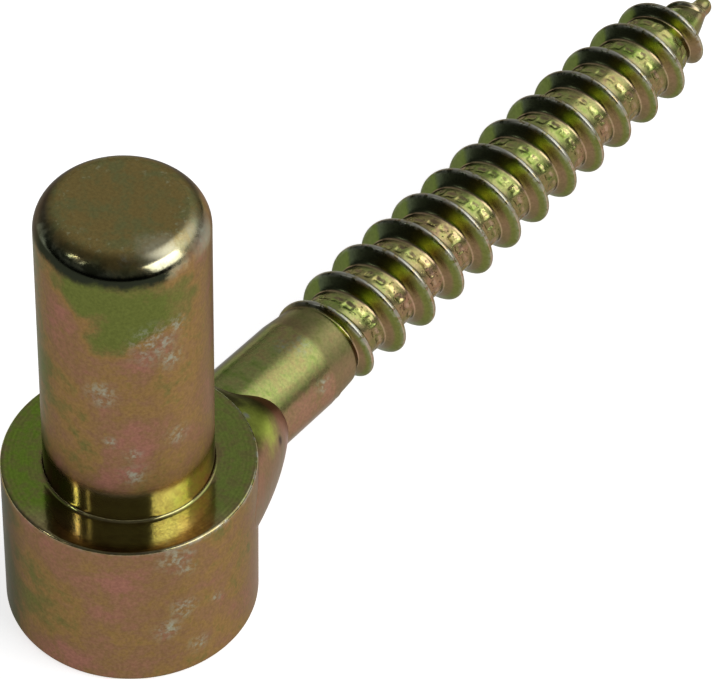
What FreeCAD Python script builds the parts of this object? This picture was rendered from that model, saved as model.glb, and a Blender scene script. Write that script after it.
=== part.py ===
"""Gate hinge pin: a turned pin with a collar, welded to the end of a rolled wood screw.

Millimetres. +Z runs up the pin, the origin lies on the pin's axis at the collar's top face,
and the screw runs along +Y, out of the collar's side.
"""
import FreeCAD, Part
import math
import os
import re
import Sketcher

# Name, size and meaning of each driving dimension, in millimetres or degrees.
SIZES = (
    ("pin_diameter", 16.0, "pin that carries the gate's eye"),
    ("pin_height", 32.8, "pin above the collar"),
    ("pin_edge_radius", 2.6, "rounding of the pin's top edge"),
    ("collar_diameter", 24.0, "collar that the eye sits on"),
    ("collar_height", 18.0, "collar, top face to base"),
    ("collar_rim_bevel", 0.3, "bevel of the collar's top rim"),
    ("collar_base_bevel", 0.6, "bevel of the collar's lower edge"),
    ("screw_drop", 7.7, "screw axis below the collar's top face"),
    ("screw_length", 80.0, "screw, collar's side to tip"),
    ("shank_diameter", 10.2, "plain shank at the collar"),
    ("shank_end_diameter", 9.9, "plain shank at the thread"),
    ("shank_length", 12.6, "plain shank, collar's side to its shoulder"),
    ("band_length", 3.5, "shoulder band that the thread's first turn rises from"),
    ("band_end_diameter", 9.2, "shoulder band where it steps down"),
    ("taper_length", 1.2, "step from the band down to the thread's root"),
    ("root_diameter", 7.8, "thread root"),
    ("thread_diameter", 11.0, "thread crest where it is first full"),
    ("thread_end_diameter", 10.3, "thread crest at the foot of the point"),
    ("thread_pitch", 4.62, "thread pitch, right-handed, one start"),
    ("thread_clocking", 29.0, "angle of the crest at the shank's shoulder, from the top"),
    ("thread_start", 1.0, "start of the ridge past the shank's shoulder"),
    ("thread_run_in", 11.0, "length over which the ridge rises to its full height"),
    ("crest_width", 0.4, "flat on the crest"),
    ("flank_angle", 30.0, "slope of each flank from the radial plane"),
    ("point_length", 9.6, "gimlet point"),
    ("point_end_diameter", 1.9, "blunt round end of the point"),
    ("weld_wrap_angle", 70.0, "half angle that the bead covers on the collar"),
    ("weld_bite", 0.3, "depth of the bead's hidden ends inside collar and shank"),
    ("weld_top_gap", 0.4, "bead's root below the collar's top face"),
    ("weld_root_depth", 4.6, "bead's root below the screw's axis"),
    ("weld_side_throat", 3.1, "bead beyond the shank's side, level with the collar's edge"),
    ("weld_top_throat", 1.2, "bead beyond the shank's top, level with the collar's edge"),
    ("weld_bottom_throat", 0.6, "bead beyond the shank's underside, level with the collar's edge"),
    ("weld_reach", 6.0, "bead along the shank"),
    ("weld_toe_height", 4.4, "height of the bead's toe, inside the shank"),
)
SHEET = "sizes"
AXIS_TO_Y = FreeCAD.Rotation(FreeCAD.Vector(1, 1, 1), -120)  # local Z to +Y, local X to +Z
RUN_IN_POWER = 1.5      # how soon the ridge gains height
POINT_POWER = 1.5       # how full the point's outline is
RIDGE_SINK = 0.1        # how far the ridge's ends sit below the root surface
ROOT_SHARE = 0.75       # inner edge of the ridge, as a share of the root radius
CORNER_SHARE = 0.35     # corner radius of the bead's section, as a share of its height
STEPS_PER_HALF_TURN = 6
ENVELOPE_OVERRUN = 1    # how far the fitting envelope passes the collar's ends, in collar heights

doc = FreeCAD.newDocument("gate_hinge_pin")


def make_sheet():
    """Put each driving dimension in a spreadsheet cell with its own alias."""
    sheet = doc.addObject("Spreadsheet::Sheet", SHEET)
    for row, (name, value, meaning) in enumerate(SIZES, start=1):
        sheet.set(f"A{row}", meaning)
        sheet.set(f"B{row}", str(value))
        sheet.setAlias(f"B{row}", name)
    doc.recompute()
    return sheet


def cell(formula):
    """Turn names of driving dimensions in a formula into links to their cells."""
    names = {name for name, _, _ in SIZES}

    def link(word):
        return f"<<{SHEET}>>.{word[0]}" if word[0] in names else word[0]

    return re.sub("[a-z_]+", link, formula)


def origin_plane(body, role):
    """Find one of a body's own origin planes or axes."""
    return next(part for part in body.Origin.OriginFeatures if part.Role == role)


def add_sketch(body, name, role):
    """Start a sketch on one of the body's origin planes."""
    sketch = body.newObject("Sketcher::SketchObject", name)
    sketch.AttachmentSupport = [(origin_plane(body, role), "")]
    sketch.MapMode = "FlatFace"
    return sketch


def bind(sketch, constraint, formula):
    """Add a dimension to a sketch and tie it to the sheet."""
    index = sketch.addConstraint(constraint)
    sketch.setExpression(f"Constraints[{index}]", cell(formula))


def draw_outline(sketch, corners):
    """Draw a closed half outline; each corner is (radius formula, height formula, x, z)."""
    count = len(corners)
    points = [FreeCAD.Vector(x, z, 0) for _, _, x, z in corners]
    for i in range(count):
        sketch.addGeometry(Part.LineSegment(points[i], points[(i + 1) % count]))
    for i in range(count):
        sketch.addConstraint(Sketcher.Constraint("Coincident", i, 2, (i + 1) % count, 1))
    for i, (radius, height, x, z) in enumerate(corners):
        bind(sketch, Sketcher.Constraint("DistanceX", -1, 1, i, 1, x), radius)
        bind(sketch, Sketcher.Constraint("DistanceY", -1, 1, i, 1, z), height)


def revolve(body, sketch, name):
    """Turn a half outline about the body's Z axis."""
    turned = body.newObject("PartDesign::Revolution", name)
    turned.Profile = sketch
    turned.ReferenceAxis = (origin_plane(body, "Z_Axis"), [""])
    turned.Angle = 360
    sketch.Visibility = False
    doc.recompute()
    return turned


def ring_edges(shape, radius, height):
    """Name the full circular edges of a given radius and height on the Z axis."""
    names = []
    for i, edge in enumerate(shape.Edges, start=1):
        if not isinstance(edge.Curve, Part.Circle):
            continue
        same_radius = abs(edge.Curve.Radius - radius) < 1e-6
        if same_radius and abs(edge.Curve.Center.z - height) < 1e-6:
            names.append(f"Edge{i}")
    return names


def round_edge(body, base, name, radius, height, size):
    """Fillet one ring edge of the last feature."""
    fillet = body.newObject("PartDesign::Fillet", name)
    fillet.Base = (base, ring_edges(base.Shape, radius, height))
    fillet.setExpression("Radius", cell(size))
    doc.recompute()
    return fillet


def bevel_edge(body, base, name, radius, height, size):
    """Chamfer one ring edge of the last feature."""
    bevel = body.newObject("PartDesign::Chamfer", name)
    bevel.Base = (base, ring_edges(base.Shape, radius, height))
    bevel.setExpression("Size", cell(size))
    doc.recompute()
    return bevel


def make_pin_and_collar(sheet):
    """Pin and collar, turned from one bar."""
    body = doc.addObject("PartDesign::Body", "pin_and_collar")
    pin_r = sheet.pin_diameter / 2
    collar_r = sheet.collar_diameter / 2
    top = sheet.pin_height
    base = -sheet.collar_height
    sketch = add_sketch(body, "pin_outline", "XZ_Plane")
    draw_outline(sketch, (
        ("0 mm", "- collar_height", 0, base),
        ("collar_diameter / 2", "- collar_height", collar_r, base),
        ("collar_diameter / 2", "0 mm", collar_r, 0),
        ("pin_diameter / 2", "0 mm", pin_r, 0),
        ("pin_diameter / 2", "pin_height", pin_r, top),
        ("0 mm", "pin_height", 0, top),
    ))
    last = revolve(body, sketch, "pin_turning")
    last = round_edge(body, last, "pin_top_edge", pin_r, top, "pin_edge_radius")
    last = bevel_edge(body, last, "collar_rim", collar_r, 0, "collar_rim_bevel")
    bevel_edge(body, last, "collar_base_edge", collar_r, base, "collar_base_bevel")
    return body


def set_on_screw_axis(part):
    """Lay a part that was made about local Z along the screw's axis."""
    part.Placement = FreeCAD.Placement(FreeCAD.Vector(0, 0, 0), AXIS_TO_Y)
    part.setExpression(".Placement.Base.z", cell("- screw_drop"))


class ScrewForm:
    """Radii of the screw along its axis, measured from the pin's axis."""

    def __init__(self, sheet):
        self.pitch = sheet.thread_pitch
        self.root_r = sheet.root_diameter / 2
        self.shank_end_r = sheet.shank_end_diameter / 2
        self.band_end_r = sheet.band_end_diameter / 2
        self.thread_r = sheet.thread_diameter / 2
        self.thread_end_r = sheet.thread_end_diameter / 2
        self.end_r = sheet.point_end_diameter / 2
        self.run_in = sheet.thread_run_in
        self.crest_half = sheet.crest_width / 2
        self.flank = math.tan(math.radians(sheet.flank_angle))
        self.clocking = math.radians(sheet.thread_clocking)
        collar_r = sheet.collar_diameter / 2
        self.shoulder = collar_r + sheet.shank_length
        self.band_end = self.shoulder + sheet.band_length
        self.root_start = self.band_end + sheet.taper_length
        self.tip = collar_r + sheet.screw_length
        self.point_start = self.tip - sheet.point_length
        self.ridge_start = self.shoulder + sheet.thread_start
        self.ridge_end = self.tip - 2 * self.end_r

    def core(self, along):
        """Radius of the plain turned form under the thread."""
        stations = (
            (self.shoulder, self.shank_end_r), (self.band_end, self.band_end_r),
            (self.root_start, self.root_r), (self.point_start, self.root_r),
            (self.tip - self.end_r, self.end_r))
        for (start, start_r), (end, end_r) in zip(stations, stations[1:]):
            if along <= end:
                break
        return start_r + (end_r - start_r) * (along - start) / (end - start)

    def crest(self, along):
        """Radius of the crest: it rises over the run-in and falls along the point."""
        start_r = self.core(self.ridge_start) - RIDGE_SINK
        if along < self.ridge_start + self.run_in:
            left = 1 - (along - self.ridge_start) / self.run_in
            return self.thread_r - (self.thread_r - start_r) * left ** RUN_IN_POWER
        if along < self.point_start:
            full_length = self.point_start - self.ridge_start - self.run_in
            share = (along - self.ridge_start - self.run_in) / full_length
            return self.thread_r + (self.thread_end_r - self.thread_r) * share
        share = (along - self.point_start) / (self.ridge_end - self.point_start)
        last_r = self.core(self.ridge_end) - RIDGE_SINK
        return self.thread_end_r + (last_r - self.thread_end_r) * share ** POINT_POWER

    def turn_at(self, along):
        """Angle of the crest at a place on the axis."""
        return self.clocking + 2 * math.pi * (along - self.shoulder) / self.pitch

    def ridge_corners(self, along):
        """The ridge's section at one place: root, crest, crest, root."""
        crest_r = self.crest(along)
        inner_r = ROOT_SHARE * self.core(along)
        root_half = self.crest_half + (crest_r - inner_r) * self.flank
        turn = self.turn_at(along)
        section = ((-root_half, inner_r), (-self.crest_half, crest_r),
                   (self.crest_half, crest_r), (root_half, inner_r))
        return [FreeCAD.Vector(r * math.cos(turn), r * math.sin(turn), along + shift)
                for shift, r in section]


def ridge_piece(form, first, last):
    """One half turn of the thread's ridge as a solid with ruled faces."""
    places = [first + (last - first) * i / STEPS_PER_HALF_TURN for i in range(STEPS_PER_HALF_TURN + 1)]
    sections = [form.ridge_corners(place) for place in places]
    edges = []
    for corner in range(len(sections[0])):
        curve = Part.BSplineCurve()
        curve.interpolate([section[corner] for section in sections])
        edges.append(curve.toShape())
    faces = [Part.makeRuledSurface(edges[i - 1], edges[i]) for i in range(len(edges))]
    for section in (sections[0], sections[-1]):
        faces.append(Part.Face(Part.makePolygon(section + section[:1])))
    shell = Part.Shell(faces)
    shell.sewShape()
    solid = Part.Solid(Part.Shell(shell.Faces))
    if solid.Volume < 0:
        solid.reverse()
    return solid


def thread_on(blank, sheet):
    """Fuse the rolled ridge, half turn by half turn, with the turned blank."""
    form = ScrewForm(sheet)
    length = form.ridge_end - form.ridge_start
    count = math.ceil(2 * length / form.pitch)
    cuts = [form.ridge_start + length * i / count for i in range(count + 1)]
    pieces = [ridge_piece(form, cuts[i], cuts[i + 1]) for i in range(count)]
    return blank.fuse(pieces)


def make_blank(sheet):
    """The screw before its thread: shank, shoulder, root and blunt point."""
    body = doc.addObject("PartDesign::Body", "screw_blank")
    form = ScrewForm(sheet)
    end_r = form.end_r
    sketch = add_sketch(body, "screw_outline", "XZ_Plane")
    shoulder = "collar_diameter / 2 + shank_length"
    tip = "collar_diameter / 2 + screw_length"
    draw_outline(sketch, (
        ("0 mm", "0 mm", 0, 0),
        ("shank_diameter / 2", "0 mm", sheet.shank_diameter / 2, 0),
        ("shank_end_diameter / 2", shoulder, form.shank_end_r, form.shoulder),
        ("band_end_diameter / 2", shoulder + " + band_length", form.band_end_r, form.band_end),
        ("root_diameter / 2", shoulder + " + band_length + taper_length", form.root_r, form.root_start),
        ("root_diameter / 2", tip + " - point_length", form.root_r, form.point_start),
        ("point_end_diameter / 2", tip + " - point_end_diameter / 2", end_r, form.tip - end_r),
        ("0 mm", tip + " - point_end_diameter / 2", 0, form.tip - end_r),
    ))
    revolve(body, sketch, "screw_turning")
    ball = body.newObject("PartDesign::AdditiveSphere", "blunt_end")
    ball.AttachmentSupport = [(origin_plane(body, "XY_Plane"), "")]
    ball.MapMode = "FlatFace"
    ball.setExpression(".AttachmentOffset.Base.z", cell(tip + " - point_end_diameter / 2"))
    ball.setExpression("Radius", cell("point_end_diameter / 2"))
    doc.recompute()
    set_on_screw_axis(body)
    doc.recompute()
    return body


def make_collar_envelope():
    """The collar's side, carried on past its ends, against which the other pieces are fitted."""
    envelope = doc.addObject("Part::Cylinder", "collar_envelope")
    envelope.setExpression("Radius", cell("collar_diameter / 2"))
    envelope.setExpression("Height", cell(f"{1 + 2 * ENVELOPE_OVERRUN} * collar_height"))
    envelope.setExpression(".Placement.Base.z", cell(f"- {1 + ENVELOPE_OVERRUN} * collar_height"))
    return envelope


def make_wood_screw(sheet, blank, envelope):
    """The rolled screw, with its end shaped to the collar's side."""
    threaded = doc.addObject("Part::Feature", "threaded_blank")
    threaded.Shape = thread_on(blank.Tip.Shape, sheet)
    set_on_screw_axis(threaded)
    screw = doc.addObject("Part::Cut", "wood_screw")
    screw.Base = threaded
    screw.Tool = envelope
    return screw


def draw_bead_section(body, name, along, above, below, half_width, start):
    """A rounded rectangle across the screw's axis; start holds its three sizes as numbers."""
    high, low, wide = start
    sketch = add_sketch(body, name, "XY_Plane")
    sketch.setExpression(".AttachmentOffset.Base.z", cell(along))
    corner = CORNER_SHARE * (high + low)
    top, bottom, side = high - corner, corner - low, wide - corner
    flats = (((high, -side), (high, side)), ((top, wide), (bottom, wide)),
             ((-low, side), (-low, -side)), ((bottom, -wide), (top, -wide)))
    rounds = ((top, side), (bottom, side), (bottom, -side), (top, -side))
    normal = FreeCAD.Vector(0, 0, 1)
    for i, ((flat_start, flat_end), centre) in enumerate(zip(flats, rounds)):
        sketch.addGeometry(Part.LineSegment(FreeCAD.Vector(*flat_start, 0), FreeCAD.Vector(*flat_end, 0)))
        circle = Part.Circle(FreeCAD.Vector(*centre, 0), normal, corner)
        sketch.addGeometry(Part.ArcOfCircle(circle, i * math.pi / 2, (i + 1) * math.pi / 2))
    count = 2 * len(flats)
    for i in range(0, count, 2):
        sketch.addConstraint(Sketcher.Constraint("Tangent", i, 2, i + 1, 1))
        sketch.addConstraint(Sketcher.Constraint("Tangent", i + 1, 2, (i + 2) % count, 1))
    for i in (0, 4):
        sketch.addConstraint(Sketcher.Constraint("Vertical", i))
        sketch.addConstraint(Sketcher.Constraint("Horizontal", i + 2))
    for i in (3, 5, 7):
        sketch.addConstraint(Sketcher.Constraint("Equal", 1, i))
    bind(sketch, Sketcher.Constraint("Radius", 1, corner), f"{CORNER_SHARE} * ({above} + {below})")
    bind(sketch, Sketcher.Constraint("DistanceX", -1, 1, 0, 1, high), above)
    bind(sketch, Sketcher.Constraint("DistanceX", 4, 1, -1, 1, low), below)
    bind(sketch, Sketcher.Constraint("DistanceY", -1, 1, 2, 1, wide), half_width)
    bind(sketch, Sketcher.Constraint("DistanceY", 6, 1, -1, 1, wide), half_width)
    return sketch


def make_weld_bead(sheet, blank, envelope):
    """The bead laid round the shank: wide at the collar, fullest on top, fading along the shank."""
    body = doc.addObject("PartDesign::Body", "bead_form")
    collar_r = sheet.collar_diameter / 2
    shank_r = sheet.shank_diameter / 2
    wrap = math.radians(sheet.weld_wrap_angle)
    inner_r = collar_r - sheet.weld_bite
    hidden_r = "(collar_diameter / 2 - weld_bite)"
    root = draw_bead_section(
        body, "bead_root", f"{hidden_r} * cos(weld_wrap_angle * 1 deg)",
        "screw_drop - weld_top_gap", "weld_root_depth", f"{hidden_r} * sin(weld_wrap_angle * 1 deg)",
        (sheet.screw_drop - sheet.weld_top_gap, sheet.weld_root_depth, inner_r * math.sin(wrap)))
    middle = draw_bead_section(
        body, "bead_middle", "collar_diameter / 2", "shank_diameter / 2 + weld_top_throat",
        "shank_diameter / 2 + weld_bottom_throat", "shank_diameter / 2 + weld_side_throat",
        (shank_r + sheet.weld_top_throat, shank_r + sheet.weld_bottom_throat,
         shank_r + sheet.weld_side_throat))
    toe = draw_bead_section(
        body, "bead_toe", "collar_diameter / 2 + weld_reach",
        "weld_toe_height / 2", "weld_toe_height / 2", "shank_end_diameter / 2 - weld_bite / 2",
        (sheet.weld_toe_height / 2, sheet.weld_toe_height / 2,
         sheet.shank_end_diameter / 2 - sheet.weld_bite / 2))
    doc.recompute()
    loft = body.newObject("PartDesign::AdditiveLoft", "bead_loft")
    loft.Profile = root
    loft.Sections = [middle, toe]
    loft.Ruled = False
    doc.recompute()
    set_on_screw_axis(body)
    outside = doc.addObject("Part::Cut", "bead_outside_collar")
    outside.Base = body
    outside.Tool = envelope
    bead = doc.addObject("Part::Cut", "weld_bead")
    bead.Base = outside
    bead.Tool = blank
    return bead


def check_document():
    """Stop if any object of the document failed to recompute."""
    for part in doc.Objects:
        if "Invalid" in part.State or "Error" in part.State:
            raise RuntimeError(f"{part.Label} failed: {part.State}")


def export(parts):
    """Write each sub-part, after its shape is checked."""
    os.makedirs("parts", exist_ok=True)
    for part in parts:
        shape = part.Shape
        if shape.isNull() or not shape.isValid() or len(shape.Solids) != 1:
            raise RuntimeError(f"{part.Label} is not one sound solid")
    for part in parts:
        part.Shape.exportStep(f"parts/{part.Label}.step")
        print(part.Label, round(part.Shape.Volume, 3))


def main():
    sheet = make_sheet()
    pin_and_collar = make_pin_and_collar(sheet)
    blank = make_blank(sheet)
    envelope = make_collar_envelope()
    wood_screw = make_wood_screw(sheet, blank, envelope)
    weld_bead = make_weld_bead(sheet, blank, envelope)
    doc.recompute()
    check_document()
    export((pin_and_collar, wood_screw, weld_bead))


main()
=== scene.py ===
"""Looks of the gate hinge pin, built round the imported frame.

Sizes are in millimetres and turned into metres when a mesh is made. +Z runs up the pin, the
origin lies on the pin's axis at the collar's top face, and the screw runs along +Y.
"""
import math

import bpy
import numpy as np
from mathutils import Matrix, Vector

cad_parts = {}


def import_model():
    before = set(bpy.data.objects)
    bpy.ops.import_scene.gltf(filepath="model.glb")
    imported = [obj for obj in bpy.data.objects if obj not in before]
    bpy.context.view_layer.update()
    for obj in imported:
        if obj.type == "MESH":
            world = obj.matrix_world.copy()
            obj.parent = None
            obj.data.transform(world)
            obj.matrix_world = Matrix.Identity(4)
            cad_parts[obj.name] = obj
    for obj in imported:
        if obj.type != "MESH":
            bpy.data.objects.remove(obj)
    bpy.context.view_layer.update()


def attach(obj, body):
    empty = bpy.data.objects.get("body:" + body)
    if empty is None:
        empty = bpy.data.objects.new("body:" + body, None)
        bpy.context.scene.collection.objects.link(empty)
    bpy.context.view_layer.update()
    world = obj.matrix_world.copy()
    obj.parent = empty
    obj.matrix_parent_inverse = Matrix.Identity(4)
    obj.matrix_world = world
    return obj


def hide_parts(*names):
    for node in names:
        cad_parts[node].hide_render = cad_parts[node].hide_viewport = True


MM = 0.001
BODY = "root"
FULL_TURN = 2 * math.pi
UP = (0, 0, 1)

# Picture and camera, fitted to the photograph's outlines.
IMAGE_WIDTH = 713
FOCAL_PIXELS = 5159.6
SENSOR_WIDTH = 36.0
CAMERA_PLACE = (215.812, -241.975, 353.033)
CAMERA_YAW = -38.031
CAMERA_PITCH = 46.139
CAMERA_ROLL = 1.001
CLIP_START = 0.01
CLIP_END = 50.0

# Pin and collar.
PIN_RADIUS = 8.0
PIN_HEIGHT = 32.8
PIN_EDGE_RADIUS = 2.6
PIN_BASE_RADIUS = 0.3
COLLAR_RADIUS = 12.0
COLLAR_HEIGHT = 18.0
COLLAR_RIM_RADIUS = 0.3
COLLAR_BASE_RADIUS = 0.7
PIN_SEGMENTS = 288
RIM_WEAR_INSET = 0.1
RIM_WEAR_REACH = 0.35
# Rings of points between the rounded edges: radii on the flats, heights on the walls.
BASE_RINGS = (2.0, 6.0, 10.5, 11.2)
COLLAR_RINGS = (-17.0, -12.0, -6.0, -0.6)
FACE_RINGS = (11.5, 10.6, 9.4, 8.5)
WALL_RINGS = (0.6, 4.0, 12.0, 20.0, 26.0, 29.8)
CROWN_RINGS = (5.1, 3.6, 1.8)

# Wood screw.
SCREW_DROP = 7.7
SCREW_START = 10.9
SHANK_RADIUS = 5.1
SHANK_END_RADIUS = 4.95
SHOULDER = 24.6
BAND_LENGTH = 3.5
BAND_END_RADIUS = 4.6
TAPER_LENGTH = 1.2
ROOT_RADIUS = 3.9
THREAD_RADIUS = 5.5
THREAD_END_RADIUS = 5.15
PITCH = 4.62
CLOCKING = math.radians(29.0)
RIDGE_START = 25.6
RUN_IN = 11.0
CREST_HALF = 0.2
FLANK_SLOPE = math.tan(math.radians(30.0))
TIP = 92.0
POINT_LENGTH = 9.6
END_RADIUS = 0.95
NECK_LENGTH = 3.4
NECK_RADIUS = 1.7
NUB_LENGTH = 1.7
NUB_RADIUS = 1.0
BAND_END = SHOULDER + BAND_LENGTH
ROOT_START = BAND_END + TAPER_LENGTH
POINT_START = TIP - POINT_LENGTH
RIDGE_END = TIP - 2 * END_RADIUS
RUN_IN_POWER = 1.5
POINT_POWER = 1.5
RIDGE_SINK = 0.1
ROOT_ROUNDING = 0.3
CREST_ROUNDING = 0.22
WORN_HEIGHT = 0.6
WORN_WIDTH = 0.3
SCREW_SEGMENTS = 180
THREAD_STEP = 0.14
SHANK_STEP = 0.6
END_CAP_ANGLES = (15, 32, 50, 68)
# Rings lean towards the ridge: how much, and where that begins, is in full, and ends.
ROW_GATHER = 0.45
GATHER_START = 1.0
GATHER_RISE = 3.0
GATHER_FALL = 2.0

# Rolled marks on the land between two ridges. Pairs give the least and what chance adds.
MARK_SPACING = 1.3
MARK_DEPTH = 0.13
MARK_EDGE = 0.17
MARK_SEED = 7
MARK_COUNT = 512
MARK_DRIFT = 0.5
MARK_HALF_LENGTH = (0.4, 0.28)
MARK_HALF_WIDTH = (0.22, 0.34)
MARK_PRESSURE = (0.6, 0.4)
MARK_FADE = 2.0
LAND_HALF = 1.1

# Weld bead: an oval root on the collar, a toe on the shank that lies nearer at the top.
BEAD_HALF_WIDTH = 10.8
BEAD_HALF_HEIGHT = 5.2
BEAD_LIFT = 1.9
BEAD_SQUARENESS = 2.4
BEAD_TOE = 17.3
BEAD_TOE_DIP = 4.2
BEAD_DIP_PLACE = math.radians(-15)
BEAD_DIP_ANGLE = math.radians(40)
BEAD_BULGE = 0.9
BEAD_BULGE_SLANT = 0.5
BEAD_LEAN = 0.62
BEAD_BITE = 0.3
BEAD_SEGMENTS = 192
BEAD_ROWS = 48


def linear(red, green, blue):
    """A colour given as a screen shows it, from 0 to 255, as light values."""
    def one(value):
        share = value / 255
        return share / 12.92 if share <= 0.04045 else ((share + 0.055) / 1.055) ** 2.4
    return (one(red), one(green), one(blue), 1.0)


# Colours of the plate. Ramps give a place from 0 to 1 and the colour there.
PINK = linear(134, 93, 78)
TAN = linear(121, 93, 65)
OCHRE = linear(126, 99, 60)
OLIVE = linear(104, 94, 54)
GREEN = linear(90, 96, 46)
HUES = ((0.0, PINK), (0.3, TAN), (0.48, OCHRE), (0.66, OLIVE), (0.95, GREEN))
EDGE_TINT = (0.55, 0.55, 0.52, 1.0)
SILVER = linear(176, 176, 166)
CREST_SILVER = linear(184, 184, 172)
FLECK = linear(156, 158, 140)
RING_GREEN = linear(124, 152, 56)
# Painted light on the ring: lighter olive to the right and pale tan to the front.
RING_OLIVE = linear(134, 150, 74)
RING_TAN = linear(170, 162, 110)
RING_BROWN = linear(138, 122, 84)
# Pin's foot, by how far it faces right: colours of its polished band, partly its own and partly a
# painted reflection.
FOOT_HUES = ((0.05, linear(124, 92, 92)), (0.3, linear(188, 174, 130)),
             (0.78, linear(192, 187, 133)), (0.93, linear(180, 136, 108)))
CROWN = linear(158, 138, 84)
CROWN_GREEN = linear(142, 140, 90)
CROWN_FLECK = linear(190, 190, 150)
# Painted shade on the back of the pin's top edge.
BACK_EDGE_SHADE = linear(84, 69, 54)
# Painted dark reflection on the front of the pin's top edge, mottled grey and pale.
BAND_REFLECTION_DARK = linear(36, 39, 29)
BAND_REFLECTION_GREY = linear(74, 79, 60)
BAND_REFLECTION_PALE = linear(138, 144, 120)
# Painted highlight on the pin's top edge.
CROWN_HIGHLIGHT = linear(205, 200, 170)
BAND_TAN = linear(122, 107, 76)
# Painted light on the screw: the upper side in lit hues, the sides in shaded ones; the weld takes the
# side hues as its own colour.
UPPER_HUES = ((0.2, linear(150, 126, 96)), (0.4, linear(156, 146, 94)),
              (0.6, linear(148, 153, 92)), (0.85, linear(122, 144, 66)))
SIDE_HUES = ((0.2, linear(140, 105, 84)), (0.5, linear(122, 105, 70)), (0.8, linear(106, 107, 60)))
# Painted shade on the screw's left side.
LEFT_SHADE_OLIVE = linear(76, 67, 43)
# Painted reflection on the near flank's outer rim.
FLANK_RIM = linear(94, 100, 48)
# Painted highlight along the fillet between land and near flank.
FILLET_HIGHLIGHT = linear(160, 132, 110)
LAND_EDGE = linear(152, 134, 108)
# The next two colours: painted shade in the bead's toe crease, pinker where it faces right.
TOE_BROWN = linear(138, 92, 70)
TOE_PINK = linear(150, 106, 86)
SPOT_BROWN = linear(70, 46, 36)
# Painted highlight on the bead.
BEAD_HIGHLIGHT = linear(165, 178, 78)
# Painted shade where the bead faces up.
BEAD_TOP_SHADE = linear(78, 76, 42)
# Painted reflection on the near flank of the ridge, by the angle round the screw from its top, in
# degrees.
FLANK_HUES = ((-80, linear(86, 94, 52)), (-50, linear(84, 96, 46)), (-43, linear(70, 78, 56)),
              (0, linear(70, 75, 50)), (14, linear(84, 92, 40)), (26, linear(150, 176, 50)),
              (40, linear(112, 104, 44)), (58, linear(106, 88, 56)), (80, linear(114, 92, 67)),
              (110, linear(106, 91, 63)))
FLANK_START, FLANK_END = -80, 120

# Stains on pin and collar: bearing to the right of the camera's side, height, radius of the
# surface, reach, and shift of hue (below nought is pink, above is green).
PIN_STAINS = (
    (2, 29, 8, 6, 0.52), (-30, 29, 8, 3.5, 0.5), (38, 27, 8, 4, 0.28), (-10, 23.5, 8, 2.2, 0.5),
    (10, 25.5, 8, 3, 0.5), (-43, 26, 8, 3, -0.3), (20, 21.5, 8, 3.5, -0.22), (8, 10, 8, 3.5, -0.22),
    (-8, 5.6, 8, 2, -0.3), (37, 16, 8, 4.5, 0.18), (-26, 9, 8, 4, 0.15), (-50, 15, 8, 5, 0.22),
    (-48, -8.6, 12, 6.5, 0.2), (-42, -13, 12, 4, 0.14), (-3, -4.3, 12, 1.4, -0.3),
    (-14, -8.6, 12, 1.6, -0.25), (-28, -15.5, 12, 2.2, -0.3), (-42, -15.5, 12, 2.5, -0.2),
    (-38, -2.7, 12, 3, -0.15), (50, -9, 12, 6, 0.1),
)
# Pale scuffs: bearing, height, radius of the surface and reach.
PIN_SCUFFS = (
    (24, 23, 8, 2.6), (34, 20.5, 8, 1.5), (38, 24.3, 8, 1.3), (-13, 16.8, 8, 1.7), (37, 10.2, 8, 1.4),
    (6, 9, 8, 1.0), (7, 6.2, 8, 1.5), (-8, 10.6, 8, 0.8), (24, -1.4, 12, 2.0), (28, -3.2, 12, 1.3),
    (27, -8.7, 12, 1.6), (19, -11, 12, 1.6), (34, -14.5, 12, 1.3), (44, -9.5, 12, 0.9),
    (72, 31.6, 7.4, 2.0), (5, 32.3, 6.4, 0.8),
)
# Places on the pin's top edge: bearing, height and radius, and then the reach.
# A painted highlight on the front right of the top edge, and a grazed scuff further right.
CROWN_HIGHLIGHT_PLACE, CROWN_HIGHLIGHT_REACH = (32, 32.2, 6.7), 2.4
GRAZED_PLACE, GRAZED_REACH = (75, 31.6, 7.4), 2.2
# Scuffs on the screw's shank and places on the bead, as points with their reach: a painted highlight,
# a dark spot and a scuff.
SHANK_SCUFFS = ((4.58, 23.0, -5.8, 1.0), (0.36, 22.1, -2.75, 1.0), (1.34, 23.5, -2.93, 1.2))
BEAD_HIGHLIGHT_PLACE, BEAD_HIGHLIGHT_REACH = (5.4, 12.4, -2.0), 2.8
BEAD_SPOT, SPOT_REACH = (6.66, 13.98, -4.84), 0.6
BEAD_SCUFF, BEAD_SCUFF_REACH = (4.39, 11.85, -1.03), 0.4

# Middle hue of each surface and how far it drifts.
PIN_HUE, PIN_HUE_DRIFT = 0.33, 1.7
UPPER_HUE, UPPER_HUE_DRIFT = 0.56, 2.0
SHANK_SIDE_HUE, THREAD_SIDE_HUE, SIDE_HUE_DRIFT = 0.37, 0.5, 1.8
WELD_HUE = 0.34
# Waves of a drifting hue: scale of the noise and share of the hue.
HUE_WAVES = ((0.12, 0.5), (0.5, 0.45), (1.8, 0.3))

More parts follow.
